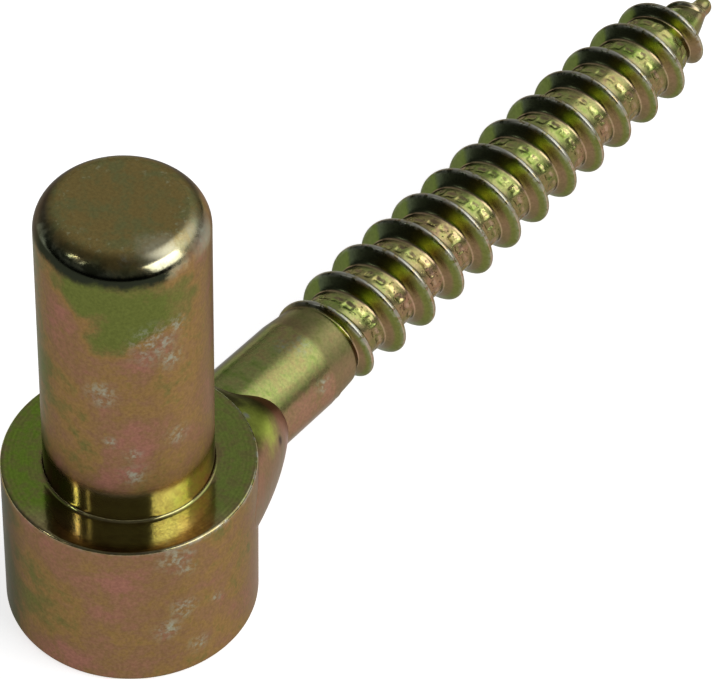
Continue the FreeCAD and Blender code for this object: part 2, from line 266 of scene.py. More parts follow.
# Strength of the fine mottling, depth of the uneven surface, and roughness.
PIN_GRAIN, FOOT_GRAIN, FACE_GRAIN, CROWN_GRAIN = 0.15, 0.05, 0.14, 0.14
SCREW_GRAIN, WELD_GRAIN = 0.14, 0.1
PIN_BUMP, SCREW_BUMP, WELD_BUMP = 0.006, 0.05, 0.04
ROLLED_BUMP_SHARE = 0.12
PIN_ROUGHNESS, SHANK_ROUGHNESS, THREAD_ROUGHNESS, WELD_ROUGHNESS = 0.4, 0.26, 0.25, 0.34
FOOT_POLISH, CROWN_POLISH = 0.3, 0.26
CROWN_FLAT_ROUGHNESS, SCUFF_ROUGHNESS, RIM_ROUGHNESS, WORN_ROUGHNESS = 0.12, 0.15, 0.25, 0.15
SCUFF_STRENGTH = 0.85

# Borders of a patch: how far they wander, and where they start and end, as shares of its reach.
BORDER_WANDER, STAIN_CORE, STAIN_RIM = 1.6, 0.1, 1.35
# Heights on the pin between which one finish gives way to the next, and how ragged they are.
COLLAR_HEIGHTS = (0.0, -1.0)
RIM_HEIGHTS = (-0.25, -0.05)
FACE_HEIGHTS = (0.02, 0.2)
FOOT_HEIGHTS, FOOT_RAGGED = (2.8, 3.9), 0.4
SMOOTH_HEIGHTS = (2.6, 5.2)
CROWN_HEIGHTS, CROWN_RAGGED = (29.9, 30.9), 1.1
# Sides of the pin, by how far they face right or to the front: a greener left limb with painted shade
# on the collar, painted light on the right.
LEFT_LIMB, LIMB_HUE, LIMB_SHADE = (-0.75, -0.97), 0.3, 0.55
RIGHT_SIDE, RIGHT_LIGHT = (0.3, 0.8), 1.22
FRONT_HALF, BACK_FOOT = (-0.5, -0.1), 0.3
RIM_WEAR_SIDE, RIM_WEAR_SHARES = (0.1, 0.6), (0.25, 0.8)
# Collar's ring: distances to the right and to the front, for its painted light, and from the ring's
# middle.
RING_OLIVE_REACH, RING_TAN_REACH = (-4.0, 8.0), (5.5, 8.5)
RING_MIDDLE, RING_BORDER, RING_BORDER_BROWN = 10.1, (0.9, 1.9), 0.4
RING_PATCH_BROWN, RING_CLOUD = 0.5, 0.2
TURNING_LINES = (0.9, 1.1)
# Pin's top, by how far it faces up, right or to the front, for its painted shade, painted dark
# reflection and matte parts.
CROWN_DRIFT, CROWN_FRONT, DARK_BAND_LEAN = 0.35, 20, 0.28
CROWN_FLECK_BORDER, CROWN_FLECK_STRENGTH, GRAZED_STRENGTH = (1.4, 0.3), 0.6, 0.6
BACK_BY_UP, BACK_BY_FRONT = (0.97, 0.8), (0.3, -0.15)
SIDE_BY_UP, SIDE_BY_RIGHT = (0.9, 0.6), (0.48, 0.72)
DARK_BAND_BY_UP, DARK_BAND_BY_RIGHT, DARK_BAND_BY_FRONT = (0.92, 0.52), (0.7, 0.5), (-0.35, 0.1)
REFLECTION_GREY_BY_UP = (0.44, 0.64)
DULL_BY_UP, DULL_BY_FRONT = (0.999, 0.96), (0.25, -0.05)
FLAT_BY_UP = (0.985, 1.0)
# Screw: distances along it, facings, and angles round it from its top; the facings and angles place
# its painted light, shade and reflections.
THREAD_PLACES = (SHOULDER - 1.0, SHOULDER + 4.0)
# Painted light: the thread's upper side and the rolled marks are made lighter.
LIGHT_PLACES, THREAD_LIGHT, MARK_LIGHT = (SHOULDER, SHOULDER + 4.0), 1.22, 0.3
BAND_RISE, BAND_FALL = (SHOULDER - 0.35, SHOULDER + 0.45), (BAND_END + 0.4, BAND_END - 0.2)
LAND_PLACES, CRUMB_PLACES, LAST_CRUMBS = (ROOT_START, ROOT_START + 2), (40.0, 55.0), 0.3
UPPER_FACING, LEFT_FACING, NEAR_FACING = (0.42, 0.66), (0.4, 0.72), (0.42, 0.66)
# Painted highlight along the fillet, by facing.
FILLET_RISE, FILLET_FALL = (0.08, 0.28), (0.6, 0.42)
LAND_EDGE_STRENGTH, FILLET_STRENGTH, BAND_STRENGTH = 0.5, 0.6, 0.6
# Painted reflection on the near flank and its outer rim.
FLANK_WANDER, FLANK_RIM_RADII = 0.25, (4.45, 4.85)
FLANK_RIM_TURN, FLANK_RIM_STRENGTH = (0.6, 1.0), 0.9
# Worn crests, kept mostly to the top as a painted highlight.
CREST_LEFT_TURN, CREST_LEFT_WEAR = (-0.9, -0.2), 0.3
CREST_RIGHT_TURN, CREST_RIGHT_WEAR = (0.7, 1.3), 0.25
# Bead: how far it faces up or right, and the share of the way to its toe, for its painted shade.
BEAD_TOP, CREASE_RIGHT, CREASE_START = (0.55, 0.9), (0.35, 0.65), (0.66, 0.84)

# Floor, lamps and room.
FLOOR_HALF = 4000.0
FLOOR_COLOUR = (0.9, 0.9, 0.9, 1.0)
FLOOR_GLOW = 0.72
WHITE = (1, 1, 1, 1)
LAMP_DISTANCE = 1.2
# Lamps: name, azimuth to the right of the camera's side, elevation, width, height and radiance.
LAMPS = (
    ("window", 60, 34, 0.85, 0.75, 3.0),
    ("left_strip", -73, 42, 0.045, 0.3, 13.0),
    ("second_strip", -54, 42, 0.03, 0.3, 2.5),
)
HORIZON, HORIZON_SHARE = (0.02, 0.35), 0.15
DARK_WAY, DARK_REACH, ROOM_LEVELS = (-35, 20), (-0.35, 0.6), (0.36, 0.1)
PALE_WAY, PALE_REACH, PALE_LEVEL = (108, 48), (0.84, 0.995), 1.15


def arc(centre, radius, start, end, steps):
    """Points of an arc in a half outline, angles in degrees from the outward direction."""
    angles = np.radians(np.linspace(start, end, steps))
    return [(centre[0] + radius * math.cos(a), centre[1] + radius * math.sin(a)) for a in angles]


def new_piece(name, points, faces):
    """Make a smooth mesh object from points in millimetres."""
    mesh = bpy.data.meshes.new(name)
    mesh.from_pydata([tuple(p) for p in np.asarray(points) * MM], [], faces)
    mesh.polygons.foreach_set("use_smooth", [True] * len(mesh.polygons))
    mesh.update()
    piece = bpy.data.objects.new(name, mesh)
    bpy.context.scene.collection.objects.link(piece)
    return piece


def set_attribute(piece, name, values):
    """Store one number for each point of a mesh."""
    attribute = piece.data.attributes.new(name, "FLOAT", "POINT")
    attribute.data.foreach_set("value", np.asarray(values, dtype=np.float32))


def ring_faces(rows, segments):
    """Quads between neighbouring rings, each ring closed on itself."""
    faces = []
    for row in range(rows - 1):
        low = row * segments
        high = low + segments
        for i in range(segments):
            j = (i + 1) % segments
            faces.append((low + i, low + j, high + j, high + i))
    return faces


def cap_faces(ring_start, segments, pole, outward):
    """Triangles from one ring to its pole."""
    faces = []
    for i in range(segments):
        j = (i + 1) % segments
        corner = (ring_start + i, ring_start + j, pole)
        faces.append(corner if outward else corner[::-1])
    return faces


def pin_outline():
    """Half outline of pin and collar from the base's middle to the top's middle."""
    base = -COLLAR_HEIGHT
    lower = arc((COLLAR_RADIUS - COLLAR_BASE_RADIUS, base + COLLAR_BASE_RADIUS),
                COLLAR_BASE_RADIUS, -90, 0, 9)
    rim = arc((COLLAR_RADIUS - COLLAR_RIM_RADIUS, -COLLAR_RIM_RADIUS), COLLAR_RIM_RADIUS, 0, 90, 8)
    foot = arc((PIN_RADIUS + PIN_BASE_RADIUS, PIN_BASE_RADIUS), PIN_BASE_RADIUS, -90, -180, 7)
    crown = arc((PIN_RADIUS - PIN_EDGE_RADIUS, PIN_HEIGHT - PIN_EDGE_RADIUS),
                PIN_EDGE_RADIUS, 0, 90, 18)
    collar_base = [(r, base) for r in BASE_RINGS]
    collar_side = [(COLLAR_RADIUS, z) for z in COLLAR_RINGS]
    face = [(r, 0.0) for r in FACE_RINGS]
    wall = [(PIN_RADIUS, z) for z in WALL_RINGS]
    top = [(r, PIN_HEIGHT) for r in CROWN_RINGS]
    return collar_base + lower + collar_side + rim + face + foot + wall + crown + top


def make_pin_and_collar():
    """Turned pin and collar, with its broken rim and rounded top edge."""
    outline = pin_outline()
    turn = np.linspace(0, FULL_TURN, PIN_SEGMENTS, endpoint=False)
    points = [(r * math.cos(a), r * math.sin(a), z) for r, z in outline for a in turn]
    faces = ring_faces(len(outline), PIN_SEGMENTS)
    base_pole = len(points)
    points += [(0, 0, -COLLAR_HEIGHT), (0, 0, PIN_HEIGHT)]
    faces += cap_faces(0, PIN_SEGMENTS, base_pole, False)
    faces += cap_faces((len(outline) - 1) * PIN_SEGMENTS, PIN_SEGMENTS, base_pole + 1, True)
    piece = new_piece("turned_pin", points, faces)
    rim_gap = [math.hypot(r - COLLAR_RADIUS + RIM_WEAR_INSET, z + RIM_WEAR_INSET) for r, z in outline]
    wear = [max(0.0, 1.0 - gap / RIM_WEAR_REACH) for gap in rim_gap]
    set_attribute(piece, "wear", np.repeat(wear, PIN_SEGMENTS).tolist() + [0.0, 0.0])
    return piece


def core_radius(y):
    """Radius of the turned form under the thread."""
    places = (0.0, SHOULDER, BAND_END, ROOT_START, POINT_START,
              TIP - NECK_LENGTH, TIP - NUB_LENGTH, TIP - END_RADIUS)
    radii = (SHANK_RADIUS, SHANK_END_RADIUS, BAND_END_RADIUS, ROOT_RADIUS, ROOT_RADIUS,
             NECK_RADIUS, NUB_RADIUS, END_RADIUS)
    return np.interp(y, places, radii)


def crest_radius(y):
    """Radius of the ridge's crest along the screw; it sinks out of sight past its ends."""
    start_r = core_radius(np.array(RIDGE_START)) - RIDGE_SINK
    last_r = core_radius(np.array(RIDGE_END)) - RIDGE_SINK
    left = np.clip(1 - (y - RIDGE_START) / RUN_IN, 0, 1)
    rising = THREAD_RADIUS - (THREAD_RADIUS - start_r) * left ** RUN_IN_POWER
    full_start = RIDGE_START + RUN_IN
    along = np.clip((y - full_start) / (POINT_START - full_start), 0, 1)
    full = THREAD_RADIUS + (THREAD_END_RADIUS - THREAD_RADIUS) * along
    share = np.clip((y - POINT_START) / (RIDGE_END - POINT_START), 0, 1)
    falling = THREAD_END_RADIUS + (last_r - THREAD_END_RADIUS) * share ** POINT_POWER
    crest = np.where(y < full_start, rising, np.where(y < POINT_START, full, falling))
    outside = np.maximum(RIDGE_START - y, 0) + np.maximum(y - RIDGE_END, 0)
    return crest - outside


def smooth_max(a, b, width):
    """The larger of two values, with a rounded change-over."""
    mix = np.clip(0.5 + 0.5 * (a - b) / width, 0, 1)
    return b + (a - b) * mix + width * mix * (1 - mix)


def smooth_step(value):
    """A share that eases in and out between 0 and 1."""
    share = np.clip(value, 0, 1)
    return share * share * (3 - 2 * share)


def ridge_phase(turn, y):
    """Turns past the nearest crest line, growing along the screw."""
    return (y - SHOULDER) / PITCH - (turn - CLOCKING) / FULL_TURN


def by_chance(limits, chance):
    """A size between its least and its most."""
    least, extra = limits
    return least + extra * chance


def rolled_marks(turn, y):
    """Marks that the rolling dies press into the land, from 0 to 1, and the land's two edges."""
    phase = ridge_phase(turn, y) + 0.5
    lap = np.round(phase)
    across = (phase - lap) * PITCH
    along = (lap * FULL_TURN + turn) * ROOT_RADIUS / MARK_SPACING
    index = np.floor(along).astype(int)
    chance = np.random.default_rng(MARK_SEED).random((MARK_COUNT, 4))[index % MARK_COUNT]
    offset = np.abs(along - index - 0.5) * MARK_SPACING
    side = np.abs(across + MARK_DRIFT * (chance[..., 0] - 0.5))
    in_length = smooth_step((by_chance(MARK_HALF_LENGTH, chance[..., 1]) - offset) / MARK_EDGE)
    in_width = smooth_step((by_chance(MARK_HALF_WIDTH, chance[..., 2]) - side) / MARK_EDGE)
    pressed = by_chance(MARK_PRESSURE, chance[..., 3])
    begun = smooth_step((y - ROOT_START) / MARK_FADE)
    ended = smooth_step((y - POINT_START - MARK_FADE) / MARK_FADE)
    edges = smooth_step(2 * np.abs(across) / LAND_HALF - 1) * begun
    return in_length * in_width * pressed * begun * (1 - ended), edges


def screw_surface(turn, y):
    """Radius of the finished screw, and how near each point lies to a worn crest."""
    phase = ridge_phase(turn, y)
    across = (phase - np.round(phase)) * PITCH
    core = core_radius(y)
    crest = crest_radius(y - across)
    flank = crest + CREST_HALF / FLANK_SLOPE - np.abs(across) / FLANK_SLOPE
    ridge = -smooth_max(-flank, -crest, CREST_ROUNDING)
    radius = smooth_max(core, ridge, ROOT_ROUNDING)
    height = np.clip((crest - core) / WORN_HEIGHT, 0, 1)
    wear = height * np.clip(1 - (np.abs(across) - 0.5 * CREST_HALF) / WORN_WIDTH, 0, 1)
    return radius, wear


def screw_rows():
    """Places of the rings along the screw: few on the shank, many on the thread."""
    shank = np.arange(SCREW_START, SHOULDER, SHANK_STEP)
    thread = np.arange(SHOULDER, TIP - END_RADIUS, THREAD_STEP)
    return np.concatenate([shank, thread])


def gathered(angle, place):
    """Places of the rings' points, drawn towards the ridge."""
    rise = np.clip((place - SHOULDER - GATHER_START) / GATHER_RISE, 0, 1)
    fade = rise * np.clip((RIDGE_END - place) / GATHER_FALL, 0, 1)
    gather = ROW_GATHER * fade * PITCH / FULL_TURN
    return place - gather * np.sin(FULL_TURN * ridge_phase(angle, place))


def make_wood_screw():
    """Shank, thread and point as one turned skin, with its rings gathered along the ridge."""
    turn = np.linspace(0, FULL_TURN, SCREW_SEGMENTS, endpoint=False)
    rows = screw_rows()
    angle, place = np.meshgrid(turn, rows)
    along = gathered(angle, place)
    radius, wear = screw_surface(angle, along)
    marks, edges = rolled_marks(angle, along)
    radius = radius - MARK_DEPTH * marks
    points = np.stack([radius * np.sin(angle), along, radius * np.cos(angle) - SCREW_DROP], axis=-1)
    points = points.reshape(-1, 3).tolist()
    for lift in np.radians(END_CAP_ANGLES):
        r = END_RADIUS * math.cos(lift)
        y = TIP - END_RADIUS + END_RADIUS * math.sin(lift)
        points += [(r * math.sin(a), y, r * math.cos(a) - SCREW_DROP) for a in turn]
    count = len(rows) + len(END_CAP_ANGLES)
    faces = ring_faces(count, SCREW_SEGMENTS)
    pole = len(points)
    points += [(0, SCREW_START, -SCREW_DROP), (0, TIP, -SCREW_DROP)]
    faces += cap_faces(0, SCREW_SEGMENTS, pole, False)
    faces += cap_faces((count - 1) * SCREW_SEGMENTS, SCREW_SEGMENTS, pole + 1, True)
    piece = new_piece("rolled_screw", points, faces)
    for name, values in (("wear", wear), ("mark", marks), ("land_edge", edges)):
        set_attribute(piece, name, np.append(values, np.zeros(len(points) - values.size)))
    return piece


def shank_radius(y):
    """Radius of the plain shank."""
    return SHANK_RADIUS + (SHANK_END_RADIUS - SHANK_RADIUS) * y / SHOULDER


def bead_root(angle):
    """A point of the bead's oval edge on the collar's side."""
    power = 2 / BEAD_SQUARENESS
    x = BEAD_HALF_WIDTH * math.copysign(abs(math.sin(angle)) ** power, math.sin(angle))
    z = BEAD_HALF_HEIGHT * math.copysign(abs(math.cos(angle)) ** power, math.cos(angle))
    return Vector((x, math.sqrt(COLLAR_RADIUS ** 2 - x * x), z + BEAD_LIFT - SCREW_DROP))


def bead_toe(angle):
    """A point of the bead's toe on the shank."""
    turn = math.remainder(angle - BEAD_DIP_PLACE, FULL_TURN)
    y = BEAD_TOE - BEAD_TOE_DIP * math.exp(-(turn / BEAD_DIP_ANGLE) ** 2)
    r = shank_radius(y)
    return Vector((r * math.sin(angle), y, r * math.cos(angle) - SCREW_DROP))


def bead_line(angle):
    """One line of the bead from inside the collar to inside the shank, and back within."""
    root = bead_root(angle)
    toe = bead_toe(angle)
    slant = Vector((math.sin(angle), BEAD_BULGE_SLANT, math.cos(angle))).normalized()
    middle = root.lerp(toe, BEAD_LEAN) + slant * BEAD_BULGE
    outward = Vector((math.sin(angle), 0, math.cos(angle)))
    line = [root - Vector((0, 2 * BEAD_BITE, 0))]
    for share in np.linspace(0, 1, BEAD_ROWS):
        line.append(root * (1 - share) ** 2 + middle * 2 * share * (1 - share) + toe * share ** 2)
    deep = toe + Vector((0, BEAD_BITE, 0)) - outward * BEAD_BITE
    line.append(deep)
    start = outward * (SHANK_END_RADIUS - 2 * BEAD_BITE)
    line.append(Vector((start.x, deep.y, start.z - SCREW_DROP)))
    line.append(Vector((start.x, line[0].y, start.z - SCREW_DROP)))
    return line


def make_weld_bead():
    """The bead round the shank, from the collar's side to its toe."""
    angles = np.linspace(0, FULL_TURN, BEAD_SEGMENTS, endpoint=False)
    lines = [bead_line(angle) for angle in angles]
    points = [tuple(p) for line in lines for p in line]
    length = len(lines[0])
    faces = []
    for i in range(BEAD_SEGMENTS):
        low = i * length
        high = (i + 1) % BEAD_SEGMENTS * length
        for k in range(length):
            n = (k + 1) % length
            faces.append((low + k, high + k, high + n, low + n))
    piece = new_piece("bead", points, faces)
    share = np.clip((np.arange(length) - 1) / (BEAD_ROWS - 1), 0, 1)
    set_attribute(piece, "toe", np.tile(share, BEAD_SEGMENTS))
    return piece


class NodeTree:
    """The nodes of a material or a world, with short ways to add and join them."""

    NUMBER_OPERATIONS = ("DOT_PRODUCT", "DISTANCE", "LENGTH")

    def __init__(self, owner):
        owner.use_nodes = True
        self.owner = owner
        self.tree = owner.node_tree
        self.tree.nodes.clear()

    def add(self, kind, values=None, **settings):
        """Add a node; values go to its inputs, by name or number, and sockets are joined."""
        node = self.tree.nodes.new(kind)
        for name, value in settings.items():
            setattr(node, name, value)
        for key, value in (values or {}).items():
            if isinstance(value, bpy.types.NodeSocket):
                self.tree.links.new(value, node.inputs[key])
            else:
                node.inputs[key].default_value = value
        return node

    def math(self, operation, a, b=0.0, clamp=False):
        node = self.add("ShaderNodeMath", {0: a, 1: b}, operation=operation, use_clamp=clamp)
        return node.outputs[0]

    def plus(self, a, b, clamp=False):
        return self.math("ADD", a, b, clamp)

    def less(self, a, b):
        return self.math("SUBTRACT", a, b)

    def times(self, a, b, clamp=False):
        return self.math("MULTIPLY", a, b, clamp)

    def larger(self, a, b):
        return self.math("MAXIMUM", a, b)

    def vector(self, operation, *values):
        """Vector arithmetic, which gives a number where the operation does."""
        node = self.add("ShaderNodeVectorMath", dict(enumerate(values)), operation=operation)
        return node.outputs["Value" if operation in self.NUMBER_OPERATIONS else "Vector"]

    def noise(self, vector, scale, detail=3.0, roughness=0.55, distortion=0.0):
        values = {"Vector": vector, "Scale": scale, "Detail": detail,
                  "Roughness": roughness, "Distortion": distortion}
        return self.add("ShaderNodeTexNoise", values).outputs["Fac"]

    def wave(self, vector, scale, *more):
        """Noise that swings about nought."""
        return self.less(self.noise(vector, scale, *more), 0.5)

    def spread(self, value, low, high, new_low=0.0, new_high=1.0):
        """Ease from one value to another while a number goes from low to high."""
        values = {0: value, 1: low, 2: high, 3: new_low, 4: new_high}
        node = self.add("ShaderNodeMapRange", values, interpolation_type="SMOOTHSTEP")
        return node.outputs[0]

    def mix(self, factor, a, b):
        return self.add("ShaderNodeMix", {0: factor, 6: a, 7: b}, data_type="RGBA").outputs[2]

    def ramp(self, value, stops):
        node = self.add("ShaderNodeValToRGB", {0: value})
        elements = node.color_ramp.elements
        while len(elements) < len(stops):
            elements.new(0.5)
        for element, (place, colour) in zip(elements, stops):
            element.position = place
            element.color = colour
        return node.outputs[0]


def new_material(name):
    """An empty material, as its node tree."""
    return NodeTree(bpy.data.materials.new(name))


def towards(azimuth, elevation):
    """A direction from the object: azimuth to the right of the camera's side, and elevation."""
    turn = math.radians(CAMERA_YAW - azimuth)
    lift = math.radians(elevation)
    flat = math.cos(lift)
    return Vector((-math.sin(turn) * flat, -math.cos(turn) * flat, math.sin(lift)))


RIGHT = towards(90, 0)
FRONT = towards(0, 0)


def millimetres(t):
    """The piece's own coordinates in millimetres."""
    place = t.add("ShaderNodeTexCoord").outputs["Object"]
    return t.vector("MULTIPLY", place, (1 / MM,) * 3)


def facing(t, way):
    """How far the piece's own surface faces a direction, from -1 to 1."""
    normal = t.add("ShaderNodeTexCoord").outputs["Normal"]
    return t.vector("DOT_PRODUCT", normal, tuple(way))


def point_value(t, name):
    """A number stored on the mesh's points."""
    return t.add("ShaderNodeAttribute", attribute_name=name).outputs["Fac"]


def on_pin(bearing, level, radius):
    """A place on pin or collar."""
    return tuple(towards(bearing, 0) * radius + Vector((0, 0, level)))


def uneven(t, mm):
    """How far the border of a patch wanders, as a share of its reach."""
    return t.times(t.wave(mm, 0.45, 5.0, 0.75), BORDER_WANDER)


def stain(t, mm, wander, centre, reach):
    """A soft-edged patch round one place, uneven at its border."""
    edge = t.plus(t.vector("DISTANCE", mm, centre), t.times(wander, reach))
    return t.spread(edge, STAIN_CORE * reach, STAIN_RIM * reach, 1.0, 0.0)


def scuffs(t, mm, wander, places):
    """Irregular pale rubs, gathered round a few places."""
    zone = 0.0
    for centre, reach in places:
        zone = t.larger(zone, stain(t, mm, wander, centre, reach))
    fine = t.spread(t.noise(mm, 1.8, 4.0, 0.65), 0.43, 0.68)
    return t.times(zone, fine)


def drifting_hue(t, mm, middle, amount=1.0):
    """A hue that drifts over centimetres and varies in patches over millimetres."""
    hue = middle
    for scale, part in HUE_WAVES:
        hue = t.plus(t.times(t.wave(mm, scale, 3.0, 0.6, 0.3), part * amount), hue)
    return hue


def scaled(t, colour, factor):
    """A colour, or a socket that gives one, made lighter or darker."""
    shade = colour[:3] if isinstance(colour, tuple) else colour
    return t.vector("MULTIPLY", shade, factor)


def with_grain(t, mm, colour, amount):
    """Fine mottling of the passivation."""
    grain = t.noise(mm, 3.2, 3.0, 0.6)
    return scaled(t, colour, t.spread(grain, 0.25, 0.75, 1 - amount, 1 + amount))


def worn_edge(t, mm, low, high):
    """Where edges are rubbed through to bright zinc."""
    rub = t.spread(t.noise(mm, 1.3, 3.0, 0.7), low, high)
    return t.times(point_value(t, "wear"), rub, True)


def finish_shader(t, colour, roughness, height, depth):
    """Close a plated material with a metal shader and an uneven surface; depth is in millimetres."""
    bump = t.add("ShaderNodeBump", {"Height": height, "Distance": depth * MM})
    shader = t.add("ShaderNodeBsdfPrincipled",
                   {"Base Color": colour, "Roughness": roughness, "Metallic": 1.0,
                    "Specular Tint": EDGE_TINT, "Normal": bump.outputs[0]})
    t.add("ShaderNodeOutputMaterial", {0: shader.outputs[0]})
    return t.owner


def pin_axis_gap(t, mm):
    """Distance from the pin's axis."""
    return t.vector("LENGTH", t.vector("MULTIPLY", mm, (1, 1, 0)))


def turned_face(t, mm, cloud):
    """The collar's machined ring, with fine turning lines, browner borders, and painted light: olive
    to the right, pale tan to the front.
    """
    radius = pin_axis_gap(t, mm)
    gap = t.add("ShaderNodeCombineXYZ", {0: radius}).outputs[0]
    lines = t.spread(t.noise(gap, 5.0, 2.0, 0.6), 0.3, 0.7, *TURNING_LINES)
    # Painted light: lighter olive towards the right, pale tan towards the front.
    olive = t.spread(t.vector("DOT_PRODUCT", mm, tuple(RIGHT)), *RING_OLIVE_REACH)
    tan = t.spread(t.vector("DOT_PRODUCT", mm, tuple(FRONT)), *RING_TAN_REACH)
    plate = t.mix(t.plus(t.times(cloud, RING_CLOUD), olive, True), RING_GREEN, RING_OLIVE)
    plate = t.mix(tan, plate, RING_TAN)
    border = t.spread(t.math("ABSOLUTE", t.less(radius, RING_MIDDLE)), *RING_BORDER)
    patches = t.spread(t.noise(mm, 0.9, 4.0, 0.65), 0.42, 0.62, 0.0, RING_PATCH_BROWN)
    brown = t.plus(patches, t.times(border, RING_BORDER_BROWN), True)
    plate = t.mix(brown, plate, RING_BROWN)
    return scaled(t, with_grain(t, mm, plate, FACE_GRAIN), lines)


def crown_flat(t, mm, cloud):
    """The pin's flat top, with pale crumbs along its border."""
    colour = with_grain(t, mm, t.mix(cloud, CROWN, CROWN_GREEN), CROWN_GRAIN)
    border = t.math("ABSOLUTE", t.less(pin_axis_gap(t, mm), PIN_RADIUS - PIN_EDGE_RADIUS))
    crumbs = t.spread(t.noise(mm, 1.9, 3.0, 0.6), 0.58, 0.68)
    crumbs = t.times(crumbs, t.spread(border, *CROWN_FLECK_BORDER))
    return t.mix(t.times(crumbs, CROWN_FLECK_STRENGTH), colour, CROWN_FLECK)


def crown_finish(t, mm, wander, side, cloud):
    """The pin's top and where it is matte: flecked flat, painted shade on the back, a painted dark
    reflection and a painted highlight at the front, dull right.
    """
    upward = facing(t, UP)
    drift = t.times(wander, CROWN_DRIFT)
    to_right = t.plus(facing(t, RIGHT), drift)
    to_front = facing(t, towards(CROWN_FRONT, 0))
    # Painted shade on the back of the rounded edge.
    back = t.times(t.spread(upward, *BACK_BY_UP), t.spread(to_front, *BACK_BY_FRONT))
    right = t.times(t.spread(upward, *SIDE_BY_UP), t.spread(to_right, *SIDE_BY_RIGHT))
    colour = t.mix(back, crown_flat(t, mm, cloud), BACK_EDGE_SHADE)
    colour = t.mix(right, colour, side)
    # Painted highlight on the front right of the edge.
    highlight = stain(t, mm, wander, on_pin(*CROWN_HIGHLIGHT_PLACE), CROWN_HIGHLIGHT_REACH)
    colour = t.mix(highlight, colour, CROWN_HIGHLIGHT)
    graze = stain(t, mm, wander, on_pin(*GRAZED_PLACE), GRAZED_REACH)
    colour = t.mix(t.times(graze, GRAZED_STRENGTH), colour, FLECK)
    # Painted dark reflection along the front of the rounded edge, mottled grey and pale where it
    # faces higher.
    lean = t.plus(drift, t.times(to_right, DARK_BAND_LEAN))
    low = t.spread(t.plus(upward, lean), *DARK_BAND_BY_UP)
    dark_band = t.times(low, t.spread(to_right, *DARK_BAND_BY_RIGHT))
    dark_band = t.times(dark_band, t.spread(to_front, *DARK_BAND_BY_FRONT))
    band_mottle = t.spread(t.noise(mm, 0.9, 4.0, 0.6), 0.42, 0.64)
    band_reflection = t.mix(band_mottle, BAND_REFLECTION_GREY, BAND_REFLECTION_PALE)
    band_reflection = t.mix(t.spread(upward, *REFLECTION_GREY_BY_UP), BAND_REFLECTION_DARK, band_reflection)
    colour = t.mix(dark_band, colour, band_reflection)
    dull_back = t.times(t.spread(upward, *DULL_BY_UP), t.spread(to_front, *DULL_BY_FRONT))
    return colour, t.larger(dull_back, right)


def stained_side(t, mm, wander, height, to_right):
    """Matte sides of pin and collar, with their stains, a greener left limb, painted shade on the
    collar's left limb and painted light on the right.
    """
    left_limb = t.spread(to_right, *LEFT_LIMB)
    hue = t.plus(drifting_hue(t, mm, PIN_HUE, PIN_HUE_DRIFT), t.times(left_limb, LIMB_HUE))
    for bearing, level, radius, reach, shift in PIN_STAINS:
        patch = stain(t, mm, wander, on_pin(bearing, level, radius), reach)
        hue = t.plus(hue, t.times(patch, shift))
    colour = with_grain(t, mm, t.ramp(hue, HUES), PIN_GRAIN)
    # Painted shade on the collar's left limb and painted light on the pin's right side.
    on_collar = t.spread(height, *COLLAR_HEIGHTS)
    shade = t.less(1.0, t.times(t.times(left_limb, on_collar), LIMB_SHADE))
    return scaled(t, colour, t.times(shade, t.spread(to_right, *RIGHT_SIDE, 1.0, RIGHT_LIGHT)))


def plated_pin():
    """Matte plated sides with stains, a machined collar face and pin foot, a polished top edge, and
    painted light, shade and reflections on them.
    """
    t = new_material("plated_pin")
    mm = millimetres(t)
    wander = uneven(t, mm)
    height = t.add("ShaderNodeSeparateXYZ", {0: mm}).outputs["Z"]
    to_right = facing(t, RIGHT)
    colour = stained_side(t, mm, wander, height, to_right)
    scuff = scuffs(t, mm, wander, [(on_pin(*place[:3]), place[3]) for place in PIN_SCUFFS])
    above_rim = t.spread(height, *RIM_HEIGHTS)
    ragged = t.plus(height, t.times(wander, FOOT_RAGGED))
    foot = t.times(above_rim, t.spread(ragged, *FOOT_HEIGHTS, 1.0, 0.0))
    smooth = t.times(above_rim, t.spread(height, *SMOOTH_HEIGHTS, 1.0, 0.0))
    face = t.times(above_rim, t.spread(height, *FACE_HEIGHTS, 1.0, 0.0))
    top = t.spread(t.plus(height, t.times(wander, CROWN_RAGGED)), *CROWN_HEIGHTS)
    # The foot's colour by facing, weighted to the front: partly its own colour, partly a painted
    # reflection.
    gold = t.ramp(t.plus(t.times(to_right, 0.5), 0.5), FOOT_HUES)
    in_front = t.spread(facing(t, FRONT), *FRONT_HALF, BACK_FOOT, 1.0)
    colour = t.mix(t.times(foot, in_front), colour, with_grain(t, mm, gold, FOOT_GRAIN))
    cloud = t.spread(t.noise(mm, 0.5, 4.0, 0.7), 0.4, 0.65)
    crown, matte = crown_finish(t, mm, wander, colour, cloud)
    colour = t.mix(face, colour, turned_face(t, mm, cloud))
    colour = t.mix(top, colour, crown)
    colour = t.mix(t.times(scuff, SCUFF_STRENGTH), colour, FLECK)
    rim_side = t.spread(to_right, *RIM_WEAR_SIDE, *RIM_WEAR_SHARES)
    rim = t.times(worn_edge(t, mm, 0.4, 0.65), rim_side)
    colour = t.mix(rim, colour, SILVER)
    flat_top = t.spread(facing(t, UP), *FLAT_BY_UP, 0.0, CROWN_FLAT_ROUGHNESS)
    polish = t.times(top, t.less(1.0, matte))
    shiny = t.larger(t.times(smooth, FOOT_POLISH), t.times(polish, CROWN_POLISH))
    roughness = t.plus(t.less(PIN_ROUGHNESS, shiny), t.times(flat_top, top))
    roughness = t.plus(roughness, t.times(scuff, SCUFF_ROUGHNESS))
    roughness = t.plus(roughness, t.times(rim, RIM_ROUGHNESS))
    return finish_shader(t, colour, roughness, t.noise(mm, 2.5, 3.0, 0.6), PIN_BUMP)


